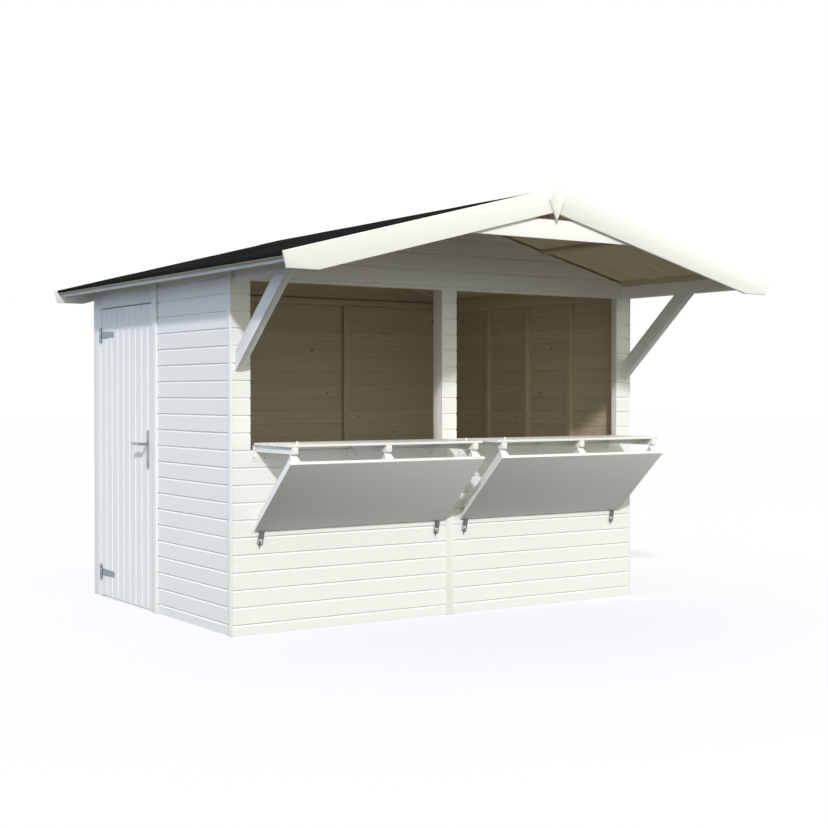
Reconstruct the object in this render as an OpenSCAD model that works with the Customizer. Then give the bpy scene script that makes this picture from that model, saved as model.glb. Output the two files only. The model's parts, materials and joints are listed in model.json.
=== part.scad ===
// Wooden market hut with a front canopy, two serving windows, fold-down counters
// and a side door. Millimetres, +Z up, the serving front faces -Y.
// The origin lies on the ground, at the middle of the outline seen from above.

/* [Walls] */
// Width of the hut over its corner trims
wall_w = 2990; // [2600:10:3400]
// Depth of the hut from the front boards to the back boards
wall_d = 2080; // [1900:10:2600]
// Thickness of the wall boards
board_t = 16; // [12:1:22]
// Width of the studs and rails
stud_w = 45; // [35:1:60]
// Depth of the studs and rails
stud_d = 36; // [30:1:50]
// Thickness of corner trims and cover battens
trim_t = 12; // [8:1:18]
// Width of the corner trims
trim_w = 40; // [30:1:60]
// Width of the cover batten on each side wall
side_batten_w = 69; // [50:1:90]
// Width of the cover batten below the middle post
front_batten_w = 58; // [40:1:80]
// Height of the back wall's top rail above the window heads
back_rail_rise = 26; // [0:1:60]

/* [Windows] */
// Width of the wall beside each window
pier_w = 125; // [115:1:220]
// Width of the post between the windows
post_w = 109; // [80:1:180]
// Depth of the post behind its boards
post_d = 80; // [36:1:100]
// Height of the lower front wall
sill_z = 1040; // [900:5:1100]
// Depth of the window heads and eave beams below the top of the side walls
head_drop = 93.5; // [70:0.5:130]

/* [Roof] */
// Roof pitch in degrees
pitch = 14.5; // [11:0.5:17]
// Height of the top edge of the barge boards at the ridge above the doorway
ridge_h = 575; // [480:1:700]
// Reach of the canopy in front of the wall, up to the barge boards
canopy = 1000; // [700:1:1200]
// Overhang of the roof behind the back wall, up to the barge boards
back_overhang = 117; // [60:1:250]
// Overhang of the roof boards beyond the side wall
eave_overhang = 194; // [120:1:260]
// Thickness of the roof boards
deck_t = 18; // [14:1:24]
// Thickness of the roofing felt
felt_t = 4; // [2:0.5:6]
// Depth of the felt folded down over the eave
felt_fold = 13; // [10:1:30]
// Height of the eave fascia
fascia_h = 38; // [35:1:70]
// Distance of the eave fascia behind the edge of the roof boards
fascia_back = 32; // [10:1:60]
// Thickness of fascia, barge boards, gable board and finial
trim_board_t = 18; // [14:1:24]
// Height of the barge boards above the felt
barge_rise = 8; // [4:1:14]
// Width of the barge boards across the slope
barge_w = 133; // [110:1:160]
// Length of the square cut at the eave end of a barge board
barge_end_cut = 88; // [60:1:105]
// Overhang of the barge boards beyond the side wall
barge_overhang = 220; // [200:1:280]
// Width of the roof beams
beam_w = 45; // [36:1:60]
// Height of the ridge beam
ridge_beam_h = 145; // [115:1:160]
// Distance of the ridge beam's front end behind the barge boards
ridge_beam_back = 60; // [20:1:120]
// Width of the purlins
purlin_w = 80; // [45:1:120]
// Height of the purlins at their lower edge
purlin_h = 5; // [3:1:120]
// Distance of the purlins from the ridge
purlin_u = 758; // [500:1:900]
// Width of the fillets between the eave beams and the canopy's boards
fillet_w = 25; // [15:1:40]
// Height of these fillets
fillet_h = 30; // [20:1:45]
// Gap between the gable boards and the roof boards
gable_gap = 14; // [1:1:30]
// Height of the gable board below the ridge beam
gable_board_h = 108; // [80:1:140]
// Distance of the gable board behind the barge boards
gable_board_back = 0; // [0:1:60]
// Lap of the gable board behind the barge boards
gable_board_lap = 10; // [0:1:20]
// Width of the finial
finial_w = 100; // [50:1:110]
// Width of the finial's level top
finial_top_w = 38; // [20:1:48]
// Height of the finial above the barge boards
finial_rise = 18; // [10:1:60]
// Depth from the finial's top to its widest place
finial_shoulder = 88; // [60:1:110]
// Depth from the finial's widest place to its lower tip
finial_drop = 112; // [90:1:180]

/* [Braces] */
// Depth of the foot of a canopy brace below the window heads
brace_drop = 513; // [400:1:650]
// How much lower the right brace sits than the left one
right_brace_lower = 30; // [0:1:60]
// Height of the foot of a canopy brace
brace_foot_h = 118; // [90:1:160]
// Angle of the canopy braces above the horizontal
brace_angle = 41; // [38:0.1:50]

/* [Counters] */
// Distance from the hut's side to the outer end of a counter
counter_inset = 145; // [130:1:200]
// Gap between the two counters
counter_gap = 108; // [40:1:160]
// Depth of a counter in front of the wall
counter_d = 419; // [300:1:460]
// Thickness of a counter
counter_t = 14; // [12:1:30]
// Height and width of the bearers under a counter
bearer = 38; // [30:1:50]
// Height of the underside of the bearers below the lower front wall's top
bearer_drop = 10; // [4:1:20]
// Distance of the outer bearer's middle from the counter's end
bearer_outer = 34; // [25:1:60]
// Distance of the inner bearer's middle from the counter's end
bearer_inner = 53; // [40:1:90]
// Diameter of the pegs on a counter
peg_d = 10; // [6:1:16]
// Height of the pegs
peg_h = 17; // [15:1:40]
// Distance of the pegs from the bearers
peg_step = 37; // [25:1:60]
// Distance of the pegs from the counter's front edge
peg_back = 45; // [20:1:80]
// Distance of the shutter's hinge line from the counter's front edge
fold_back = 24; // [15:1:40]

/* [Shutters] */
// Length of a shutter panel along its slope
shutter_l = 576; // [500:1:620]
// Length of a shutter beyond the outer end of its counter
shutter_outer = 18; // [0:1:40]
// Distance of a shutter from the inner end of its counter
shutter_inner = 8; // [0:1:40]
// Shift of both shutters to the right
shutter_shift = 13; // [0:1:20]
// Thickness of a shutter panel
shutter_t = 20; // [14:1:26]
// Depth of the battens behind a shutter panel
shutter_batten_t = 44; // [25:1:55]
// Length of bare panel below the battens
shutter_bare = 60; // [55:1:120]
// Thickness of a hinge leaf
leaf_t = 4; // [2:0.5:6]
// Radius of a hinge knuckle
knuckle_r = 4; // [3:0.5:8]
// Widening of a hinge leaf on each side at its foot
leaf_flare = 12; // [4:1:20]
// Width of a clasp
clasp_w = 33; // [24:1:44]
// Height of the plate of a clasp
clasp_plate_h = 48; // [30:1:60]
// Height of the bail below the plate of a clasp
clasp_bail_h = 44; // [25:1:60]
// Thickness of the bail and plate of a clasp
clasp_t = 5; // [3:0.5:8]

/* [Door] */
// Width of the doorway
door_open_w = 855; // [700:5:920]
// Height of the doorway
door_open_h = 1927; // [1800:1:1940]
// Distance from the back of the hut to the doorway
door_back = 137; // [104:1:160]
// Gap around the door
door_gap = 7; // [6:0.5:10]
// Height of the door above the ground
door_lift = 10; // [10:1:40]
// Width of the door ledges
ledge_w = 95; // [70:1:120]
// Thickness of the door ledges
ledge_t = 20; // [15:1:26]
// Distance of the ledges from the door's edges
ledge_inset = 25; // [15:1:50]
// Height of the underside of the lower door ledge
ledge_low = 150; // [100:5:250]
// Height of the underside of the middle door ledge
ledge_mid = 770; // [600:5:950]
// Distance of the upper door ledge from the door's top
ledge_high = 135; // [80:5:250]
// Width of the slanting braces between the ledges
door_brace_w = 90; // [60:1:110]
// Air between the end of a brace and a ledge
brace_air = 0.5; // [0.3:0.1:0.8]

/* [Door hardware] */
// Height of the middle of the lower door hinge
hinge_low = 165; // [120:5:300]
// Distance of the middle of the upper door hinge from the door's top
hinge_high = 170; // [120:5:300]
// Height of a hinge's post plate
hinge_plate_h = 99; // [90:1:140]
// Width of a hinge's post plate
hinge_plate_w = 32; // [24:1:50]
// Length of a hinge strap
strap_l = 213; // [150:1:350]
// Width of a hinge strap at its barrel
strap_w = 46; // [36:1:60]
// Width of a hinge strap at its square tip
strap_tip_w = 36; // [20:1:46]
// Thickness of hinge plates and straps
strap_t = 3; // [2:0.5:5]
// Outer radius of the hinge barrel
barrel_r = 7.5; // [6:0.5:10]
// Radius of the hinge pin
pin_r = 4; // [3:0.5:5]
// Air between the pin and the strap's barrel
pin_air = 0.08; // [0.05:0.01:0.1]
// Air between barrels, along the pin and beside it
barrel_air = 0.5; // [0.3:0.1:0.8]
// Height of the lever's spindle above the ground
lever_z = 1045; // [950:5:1100]
// Distance of the lever's spindle from the door's edge
backset = 73; // [60:1:100]
// Height of the handle plate
handle_plate_h = 239; // [180:1:260]
// Width of the handle plate
handle_plate_w = 30; // [28:1:50]
// Thickness of the handle plate
handle_plate_t = 6; // [4:0.5:8]
// Depth of the lever's spindle below the top of the plate
lever_from_top = 86; // [60:1:120]
// Radius of the lever's neck
neck_r = 8; // [6:0.5:10]
// Radius of the collar around the lever's neck
collar_r = 13; // [12:0.5:16]
// Height of the collar
collar_h = 4; // [2:0.5:8]
// Air between the lever's neck and its collar
neck_air = 0.08; // [0.05:0.01:0.1]
// Distance of the lever from the face of the plate
lever_reach = 48; // [35:1:60]
// Length of the lever
lever_l = 115; // [90:1:140]
// Thickness of the lever
lever_t = 13; // [9:1:16]
// Height of the lever
lever_h = 18; // [17:1:24]
// Radius of the spindle through the door
spindle_r = 5; // [4:0.5:5.5]
// Radius of the key cylinder
key_r = 8; // [6:0.5:10]

/* [Hidden] */
$fn = 48;

// Air between a wall and the roof boards or beams that pass it
fit = 0.3;
// Air between sloping pieces that lie on each other
lay = 0.1;
// Extra length of a cutting tool beyond the piece it cuts
over = 1;

// The hut stands between the finial's front face and the back barge boards' rear face
front_reach = canopy + 2 * trim_board_t;
back_reach = back_overhang + trim_board_t;
y_front = (front_reach - back_reach - wall_d) / 2;

// Planes of the walls, from the middle of the hut or from its front
half_w = wall_w / 2;
clad_u = half_w - trim_t;
side_in = clad_u - board_t;
back_in = wall_d - board_t;
window_out = half_w - pier_w;
window_in = post_w / 2;

// Roof planes at the ridge and their fall with the distance from it
slope = tan(pitch);
ridge_z = door_open_h + ridge_h;
felt_top = ridge_z - barge_rise;
felt_under = felt_top - felt_t / cos(pitch);
deck_top = felt_under - lay;
deck_under = deck_top - deck_t / cos(pitch);
beam_top = deck_under - lay;
barge_under = ridge_z - barge_w / cos(pitch);
eave_u = half_w + eave_overhang;
barge_end_u = half_w + barge_overhang;
roof_front = -canopy;
roof_back = wall_d + back_overhang;
ridge_beam_z = beam_top - ridge_beam_h;
beam_in = side_in - beam_w;
wall_top = deck_under - slope * clad_u - fit;
trim_top = deck_under - slope * half_w - fit;
head_z = wall_top - head_drop;
back_rail_z = head_z + back_rail_rise;
brace_foot_z = head_z - brace_drop;

// Doorway along the left wall
door_y1 = wall_d - door_back;
door_y0 = door_y1 - door_open_w;
leaf_y0 = door_y0 + door_gap;
leaf_y1 = door_y1 - door_gap;
leaf_h = door_open_h - door_gap;
ledge_z = [ledge_low, ledge_mid, leaf_h - ledge_high - ledge_w];
hinge_z = [hinge_low, leaf_h - hinge_high];
pin_x = -clad_u - barrel_r - barrel_air;
pin_y = door_y1 - door_gap / 2;
lever_y = leaf_y0 + backset;

// Counters, their bearers and the hinge line of the shutters
counter_u0 = counter_gap / 2;
counter_u1 = half_w - counter_inset;
bearer_z = sill_z - bearer_drop;
counter_z = bearer_z + bearer;
bearer_u = [
    counter_u0 + bearer_inner,
    (counter_u0 + bearer_inner + counter_u1 - bearer_outer) / 2,
    counter_u1 - bearer_outer
];
peg_u = [bearer_u[0] + peg_step, bearer_u[2] - peg_step];
fold_y = fold_back - counter_d;
fold_z = bearer_z - knuckle_r;

// A shutter hangs from its hinge line and leans with its inner lower edge on the wall
shutter_end = leaf_t + shutter_l;
lean_run = -fold_y - fit;
lean = acos(lean_run / norm([shutter_end, shutter_batten_t])) - atan2(shutter_batten_t, shutter_end);

function roof_at(top, u) = top - slope * abs(u);
// Place in the wall's frame of a point on a shutter: y along the slope, z across it
function on_lean(y, z) = [fold_y + y * cos(lean) + z * sin(lean), fold_z - y * sin(lean) + z * cos(lean)];

// Outlines of the roof beams, drawn across the hut
function eave_outline(grow) = [
    [beam_in - grow, head_z - grow], [side_in + grow, head_z - grow],
    [side_in + grow, roof_at(beam_top, side_in + grow)],
    [beam_in - grow, roof_at(beam_top, beam_in - grow)]
];
function purlin_outline(grow) = let (
    in = purlin_u - purlin_w / 2 - grow,
    out = purlin_u + purlin_w / 2 + grow,
    low = roof_at(beam_top, purlin_u + purlin_w / 2) - purlin_h - grow
) [[in, low], [out, low], [out, roof_at(beam_top, out)], [in, roof_at(beam_top, in)]];
function ridge_outline(grow) = let (half = beam_w / 2 + grow) [
    [-half, ridge_beam_z - grow], [half, ridge_beam_z - grow], [half, roof_at(beam_top, half)],
    [0, beam_top], [-half, roof_at(beam_top, half)]
];

// Moves a piece from the wall's frame, whose front boards face y = 0, to the part's frame
module placed() {
    translate([0, y_front, 0]) children();
}

// A box between two corners
module slab(low, high) {
    translate(low) cube(high - low);
}

// An outline drawn across the hut, from y0 to y1
module along_y(points, y0, y1) {
    translate([0, y1, 0]) rotate([90, 0, 0]) linear_extrude(y1 - y0) polygon(points);
}

// An outline drawn along the side of the hut, from x0 to x1
module along_x(points, x0, x1) {
    translate([x0, 0, 0]) rotate([90, 0, 90]) linear_extrude(x1 - x0) polygon(points);
}

// The same piece on the left and on the right
module both_sides() {
    children();
    mirror([1, 0, 0]) children();
}

// The frame of a leaning shutter, with its hinge line at the origin
module leaning() {
    translate([0, fold_y, fold_z]) rotate([-lean, 0, 0]) children();
}

// A rod along X between two places
module rod_x(r, x0, x1, y, z) {
    translate([x0, y, z]) rotate([0, 90, 0]) cylinder(r = r, h = x1 - x0);
}

// Notches for the beams that pass a gable
module beam_notches(y0, y1) {
    along_y(ridge_outline(fit), y0, y1);
    both_sides() along_y(purlin_outline(fit), y0, y1);
}

// Outline of a gable between the eave beams
function gable_outline(z) = let (u = beam_in - fit, top = deck_under - gable_gap) [
    [-u, z], [u, z], [u, roof_at(top, u)], [0, top], [-u, roof_at(top, u)]
];

// Front wall

module front_wall_lower() {
    color("ivory") placed() slab([-clad_u, 0, 0], [clad_u, board_t, sill_z]);
}

module front_pier(side) {
    color("ivory") placed() mirror([side < 0 ? 1 : 0, 0, 0])
        slab([window_out, 0, sill_z], [clad_u, board_t, head_z]);
}

module front_post_boards() {
    color("ivory") placed() slab([-window_in, 0, sill_z], [window_in, board_t, head_z]);
}

module front_gable() {
    color("ivory") placed() difference() {
        along_y(gable_outline(head_z), 0, board_t);
        beam_notches(-over, board_t + over);
    }
}

// Side and back walls

// Outline of a side wall's boards between two places along the wall; above the head
// line they reach the outer faces of the front and back boards
function side_outline(y0, y1, first, last) = [
    [y0, 0], [y1, 0],
    if (last) each [[y1, head_z], [wall_d, head_z], [wall_d, wall_top]],
    if (!last) [y1, wall_top],
    if (first) each [[0, wall_top], [0, head_z], [y0, head_z]],
    if (!first) [y0, wall_top]
];

module left_wall() {
    color("aliceblue") placed()
        along_x(side_outline(board_t, door_y0, true, false), -clad_u, -side_in);
}

module door_header() {
    color("aliceblue") placed() slab([-clad_u, door_y0, door_open_h], [-side_in, door_y1, wall_top]);
}

module door_stile() {
    color("aliceblue") placed() slab([-clad_u, door_y1, 0], [-side_in, wall_d, wall_top]);
}

module right_wall_front() {
    color("aliceblue") placed()
        along_x(side_outline(board_t, door_y0 - side_batten_w / 2, true, false), side_in, clad_u);
}

module right_wall_back() {
    color("aliceblue") placed()
        along_x(side_outline(door_y0 - side_batten_w / 2, back_in, false, true), side_in, clad_u);
}

module back_wall() {
    u = beam_in - fit;
    top = deck_under - gable_gap;
    color("ivory") placed() difference() {
        along_y([
            [-side_in, 0], [clad_u, 0], [clad_u, head_z], [u, head_z], [u, roof_at(top, u)], [0, top],
            [-u, roof_at(top, u)], [-u, head_z], [-side_in, head_z]
        ], back_in, wall_d);
        beam_notches(back_in - over, wall_d + over);
    }
}

module corner_trims() {
    color("white") placed() {
        both_sides() slab([clad_u, 0, 0], [half_w, trim_w, trim_top]);
        slab([clad_u, wall_d - trim_w, 0], [half_w, wall_d, trim_top]);
    }
}

module cover_battens() {
    color("white") placed() {
        slab([-front_batten_w / 2, -trim_t, 0], [front_batten_w / 2, 0, sill_z]);
        both_sides() slab([clad_u, door_y0 - side_batten_w, 0], [half_w, door_y0, trim_top]);
    }
}

// Frame behind the boards

module front_studs() {
    jamb_out = min(window_out + stud_w, beam_in - over);
    color("burlywood") placed() {
        both_sides() {
            slab([beam_in, board_t, stud_w], [side_in, board_t + stud_d, head_z]);
            slab([window_out, board_t, stud_w], [jamb_out, board_t + stud_d, head_z]);
        }
        slab([-window_in, board_t, stud_w], [window_in, board_t + post_d, head_z]);
    }
}

module front_rails() {
    back = board_t + stud_d;
    color("burlywood") placed() {
        slab([-side_in, board_t, 0], [side_in, back, stud_w]);
        both_sides() slab([window_in, board_t, sill_z - stud_w], [window_out, back, sill_z]);
        slab([-beam_in, board_t, head_z], [beam_in, back, head_z + stud_w]);
    }
}

// One stud of a side wall, with its front face at y
module side_stud(y) {
    slab([side_in - stud_d, y, stud_w], [side_in, y + stud_w, head_z]);
}

module side_studs() {
    first = board_t + stud_d;
    last = back_in - stud_d - stud_w;
    joint = door_y0 - stud_w;
    color("burlywood") placed() {
        both_sides() for (y = [first, (first + joint) / 2, joint]) side_stud(y);
        mirror([1, 0, 0]) side_stud(door_y1);
        for (y = [(joint + last) / 2, last]) side_stud(y);
    }
}

module side_rails() {
    first = board_t + stud_d;
    last = back_in - stud_d;
    color("burlywood") placed() {
        slab([side_in - stud_d, first, 0], [side_in, last, stud_w]);
        mirror([1, 0, 0]) difference() {
            slab([side_in - stud_d, first, 0], [side_in, last, stud_w]);
            slab([side_in - door_gap, door_y0, -over], [side_in + over, door_y1, stud_w + over]);
        }
        mirror([1, 0, 0])
            slab([side_in - stud_d, door_y0, head_z - stud_w], [side_in, door_y1, head_z]);
    }
}

module back_studs() {
    third = side_in / 3;
    color("burlywood") placed() both_sides() {
        slab([beam_in, back_in - stud_d, stud_w], [side_in, back_in, head_z]);
        slab([third - stud_w / 2, back_in - stud_d, stud_w], [third + stud_w / 2, back_in, back_rail_z]);
    }
}

module back_rails() {
    color("burlywood") placed() {
        slab([-side_in, back_in - stud_d, 0], [side_in, back_in, stud_w]);
        slab([-beam_in, back_in - stud_d, back_rail_z], [beam_in, back_in, back_rail_z + stud_w]);
    }
}

// Roof

module roof_deck_half() {
    along_y([
        [0, deck_under], [eave_u, roof_at(deck_under, eave_u)], [eave_u, roof_at(deck_top, eave_u)],
        [0, deck_top]
    ], roof_front, roof_back);
}

module roof_deck_left() {
    color("tan") placed() mirror([1, 0, 0]) roof_deck_half();
}

module roof_deck_right() {
    color("tan") placed() roof_deck_half();
}

module roof_felt() {
    in = eave_u + lay;
    out = in + felt_t;
    fold = roof_at(felt_under, in) - felt_fold;
    half = [[out, roof_at(felt_top, out)], [out, fold], [in, fold], [in, roof_at(felt_under, in)]];
    mirrored = [for (i = [len(half) - 1:-1:0]) [-half[i][0], half[i][1]]];
    color("dimgray") placed()
        along_y(concat([[0, felt_top]], half, [[0, felt_under]], mirrored), roof_front, roof_back);
}

module ridge_beam() {
    color("burlywood") placed() along_y(ridge_outline(0), roof_front + ridge_beam_back, roof_back);
}

module purlins() {
    color("burlywood") placed() both_sides() along_y(purlin_outline(0), roof_front, roof_back);
}

module eave_beams() {
    color("burlywood") placed() both_sides() along_y(eave_outline(0), roof_front, roof_back);
}

// Three-sided strips in the corner between an eave beam and the canopy's boards
module eave_fillets() {
    out = beam_in - fit;
    in = out - fillet_w;
    top = roof_at(beam_top, out);
    color("burlywood") placed() both_sides() along_y([
        [in, roof_at(beam_top, in)], [out, top - fillet_h], [out, top]
    ], roof_front, -fit);
}

module eave_fascias() {
    out = eave_u - fascia_back;
    in = out - trim_board_t;
    low = roof_at(deck_top, eave_u) - fascia_h;
    color("white") placed() both_sides() along_y([
        [in, low], [out, low], [out, roof_at(beam_top, out)], [in, roof_at(beam_top, in)]
    ], roof_front, roof_back);
}

// Half of a gable's barge boards, square at its upper end corner and level below
module barge(y0, side) {
    end_z = roof_at(ridge_z, barge_end_u);
    cut_u = barge_end_u - barge_end_cut * sin(pitch);
    cut_z = end_z - barge_end_cut * cos(pitch);
    color("white") placed() mirror([side < 0 ? 1 : 0, 0, 0]) along_y([
        [0, ridge_z], [barge_end_u, end_z], [cut_u, cut_z], [(barge_under - cut_z) / slope, cut_z],
        [0, barge_under]
    ], y0, y0 + trim_board_t);
}

module gable_board() {
    top = barge_under + gable_board_lap;
    flat_u = (top - ridge_beam_z) / slope;
    low = ridge_beam_z - gable_board_h;
    foot_u = (top - low) / slope;
    y0 = roof_front + gable_board_back;
    color("white") placed() along_y([
        [-foot_u, low], [foot_u, low], [flat_u, ridge_beam_z], [-flat_u, ridge_beam_z]
    ], y0, y0 + trim_board_t);
}

module finial() {
    top = ridge_z + finial_rise;
    wide = top - finial_shoulder;
    half = finial_w / 2;
    top_half = finial_top_w / 2;
    color("white") placed() along_y([
        [-top_half, top], [top_half, top], [half, wide], [0, wide - finial_drop], [-half, wide]
    ], -front_reach, -front_reach + trim_board_t);
}

// A slanting brace under an eave beam, from the height of its foot up
module canopy_brace(foot) {
    run_low = (head_z - foot) / tan(brace_angle);
    run_high = (head_z - foot - brace_foot_h) / tan(brace_angle);
    along_x([
        [0, foot], [0, foot + brace_foot_h], [-run_high, head_z], [-run_low, head_z]
    ], beam_in, side_in);
}

module canopy_braces() {
    color("white") placed() {
        canopy_brace(brace_foot_z - right_brace_lower);
        mirror([1, 0, 0]) canopy_brace(brace_foot_z);
    }
}

// Counters and shutters

module counter(side) {
    color("white") placed() mirror([side < 0 ? 1 : 0, 0, 0])
        slab([counter_u0, -counter_d, counter_z], [counter_u1, 0, counter_z + counter_t]);
}

// Blocks across the counters, and a strip on the lower wall under their back edges
module counter_bearers() {
    color("white") placed() both_sides() {
        for (u = bearer_u) slab([u - bearer / 2, -counter_d, bearer_z], [u + bearer / 2, 0, counter_z]);
        slab([max(counter_u0, window_in) + fit, fit, sill_z], [counter_u1, board_t, counter_z]);
    }
}

module counter_pegs() {
    color("white") placed() both_sides() for (u = peg_u)
        translate([u, peg_back - counter_d, counter_z + counter_t]) cylinder(d = peg_d, h = peg_h);
}

module shutter(side) {
    low = -shutter_batten_t - shutter_t;
    u0 = counter_u0 + shutter_inner;
    u1 = counter_u1 + shutter_outer;
    color("gainsboro") placed() translate([shutter_shift, 0, 0]) mirror([side < 0 ? 1 : 0, 0, 0]) leaning()
        slab([u0, leaf_t, low], [u1, shutter_end, -shutter_batten_t]);
}

module shutter_battens() {
    half = bearer / 2;
    end = shutter_end - shutter_bare;
    color("white") placed() both_sides() leaning() for (u = bearer_u)
        slab([u - half, leaf_t, -shutter_batten_t], [u + half, end, -knuckle_r]);
}

// A flared leaf over the end of a batten, hung from a knuckle under the bearer
module shutter_hinges() {
    half = bearer / 2;
    foot = -shutter_batten_t - shutter_t / 2;
    color("white") placed() both_sides() leaning() for (u = bearer_u) translate([u, 0, 0]) {
        along_y([[-half - leaf_flare, foot], [half + leaf_flare, foot], [half, 0], [-half, 0]], 0, leaf_t);
        rod_x(knuckle_r, -half, half, 0, 0);
    }
}

module shutter_clasps() {
    edge = on_lean(shutter_end, -shutter_batten_t - shutter_t / 2);
    half = clasp_w / 2;
    half_t = clasp_t / 2;
    low = edge[1] - clasp_plate_h - clasp_bail_h;
    rise = half_t / tan(lean);
    color("slategray") placed() translate([shutter_shift, 0, 0]) both_sides()
    for (u = [bearer_u[0], bearer_u[2]]) difference() {
        along_x([
            [edge[0] - half_t, low], [edge[0] + half_t, low],
            [edge[0] + half_t, edge[1] + rise], [edge[0] - half_t, edge[1] - rise]
        ], u - half, u + half);
        slab(
            [u - half + clasp_t, edge[0] - clasp_t, low + clasp_t],
            [u + half - clasp_t, edge[0] + clasp_t, low + clasp_bail_h]
        );
    }
}

// Door

module door_leaf() {
    color("aliceblue") placed() difference() {
        slab([-clad_u, leaf_y0, door_lift], [-side_in, leaf_y1, leaf_h]);
        rod_x(neck_r, -clad_u - over, -side_in + over, lever_y, lever_z);
    }
}

module door_ledges() {
    x0 = -side_in;
    x1 = x0 + ledge_t;
    y0 = leaf_y0 + ledge_inset;
    y1 = leaf_y1 - ledge_inset;
    color("burlywood") placed() {
        for (z = ledge_z) slab([x0, y0, z], [x1, y1, z + ledge_w]);
        for (i = [0:len(ledge_z) - 2]) {
            low = ledge_z[i] + ledge_w + brace_air;
            high = ledge_z[i + 1] - brace_air;
            along_x([[y1 - door_brace_w, low], [y1, low], [y0 + door_brace_w, high], [y0, high]], x0, x1);
        }
    }
}

// A tapered strap with a square tip and the barrel that turns on the pin
module door_strap(z) {
    tip = pin_y - strap_l;
    half = strap_w / 2;
    tip_half = strap_tip_w / 2;
    difference() {
        union() {
            translate([0, 0, z]) along_x([
                [tip, -tip_half], [pin_y, -half], [pin_y, half], [tip, tip_half]
            ], -clad_u - strap_t, -clad_u);
            translate([pin_x, pin_y, z - half]) cylinder(r = barrel_r, h = strap_w);
        }
        translate([pin_x, pin_y, z - half - over]) cylinder(r = pin_r + pin_air, h = strap_w + 2 * over);
    }
}

module door_straps() {
    color("silver") placed() for (z = hinge_z) door_strap(z);
}

// A post plate with two barrels and the pin that carries the strap
module door_hinge_plate(z) {
    x0 = -clad_u - strap_t;
    plate_y = pin_y + barrel_r + 2 * barrel_air;
    half = hinge_plate_h / 2;
    clear = strap_w / 2 + barrel_air;
    translate([pin_x, pin_y, z - half]) cylinder(r = pin_r, h = hinge_plate_h);
    slab([x0, plate_y, z - half], [-clad_u, plate_y + hinge_plate_w, z + half]);
    for (low = [z - half, z + clear]) {
        translate([pin_x, pin_y, low]) cylinder(r = barrel_r, h = half - clear);
        slab([x0, pin_y + door_gap / 2, low], [-clad_u, plate_y, low + half - clear]);
    }
}

module door_hinge_plates() {
    color("silver") placed() for (z = hinge_z) door_hinge_plate(z);
}

// A long plate with round ends, a collar for the lever's neck and a key cylinder below
module handle_plate() {
    half = handle_plate_w / 2;
    z0 = lever_z + lever_from_top - handle_plate_h;
    z1 = z0 + handle_plate_h;
    difference() {
        union() {
            slab([0, -half, z0 + half], [handle_plate_t, half, z1 - half]);
            for (z = [z0 + half, z1 - half]) rod_x(half, 0, handle_plate_t, 0, z);
            rod_x(collar_r, 0, handle_plate_t + collar_h, 0, lever_z);
            rod_x(key_r, 0, handle_plate_t + collar_h, 0, z0 + handle_plate_w);
        }
        rod_x(neck_r + neck_air, -over, handle_plate_t + collar_h + over, 0, lever_z);
    }
}

module handle_plates() {
    color("silver") placed() translate([0, lever_y, 0]) {
        translate([-clad_u, 0, 0]) mirror([1, 0, 0]) handle_plate();
        translate([-side_in, 0, 0]) handle_plate();
    }
}

// One side of the lever: a round neck and a flat arm with a round end
module lever_half() {
    reach = handle_plate_t + lever_reach;
    rod_x(neck_r, over, reach + lever_t, 0, 0);
    translate([reach, 0, 0]) rotate([90, 0, 90]) linear_extrude(lever_t) {
        translate([0, -lever_h / 2]) square([lever_l - lever_h / 2, lever_h]);
        translate([lever_l - lever_h / 2, 0]) circle(d = lever_h);
        circle(d = lever_h);
    }
}

module door_lever() {
    color("silver") placed() translate([0, lever_y, lever_z]) {
        translate([-clad_u, 0, 0]) mirror([1, 0, 0]) lever_half();
        translate([-side_in, 0, 0]) lever_half();
        rod_x(spindle_r, -clad_u - handle_plate_t, -side_in + handle_plate_t, 0, 0);
    }
}

front_wall_lower();
front_pier(-1);  // front_pier_left
front_pier(1);  // front_pier_right
front_post_boards();
front_gable();
left_wall();
door_header();
door_stile();
right_wall_front();
right_wall_back();
back_wall();
corner_trims();
cover_battens();
front_studs();
front_rails();
side_studs();
side_rails();
back_studs();
back_rails();
roof_deck_left();
roof_deck_right();
roof_felt();
ridge_beam();
purlins();
eave_beams();
eave_fillets();
eave_fascias();
barge(roof_front - trim_board_t, -1);  // barge_front_left
barge(roof_front - trim_board_t, 1);  // barge_front_right
barge(roof_back, -1);  // barge_back_left
barge(roof_back, 1);  // barge_back_right
gable_board();
finial();
canopy_braces();
counter(-1);  // counter_left
counter(1);  // counter_right
counter_bearers();
counter_pegs();
shutter(-1);  // shutter_left
shutter(1);  // shutter_right
shutter_battens();
shutter_hinges();
shutter_clasps();
door_leaf();
door_ledges();
door_straps();
door_hinge_plates();
handle_plates();
door_lever();
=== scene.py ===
# %% [markdown]
# A wooden market hut stands as a frame of plain solids: walls, roof, counters and a side door.
# This lesson dresses that frame. Each wall becomes real boards with grooves between them, the
# roof gets its felt, and the door its ironwork. We start by loading the frame.

# %% The frame
import json
import math

import bmesh
import bpy
from mathutils import Matrix, Vector


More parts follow.
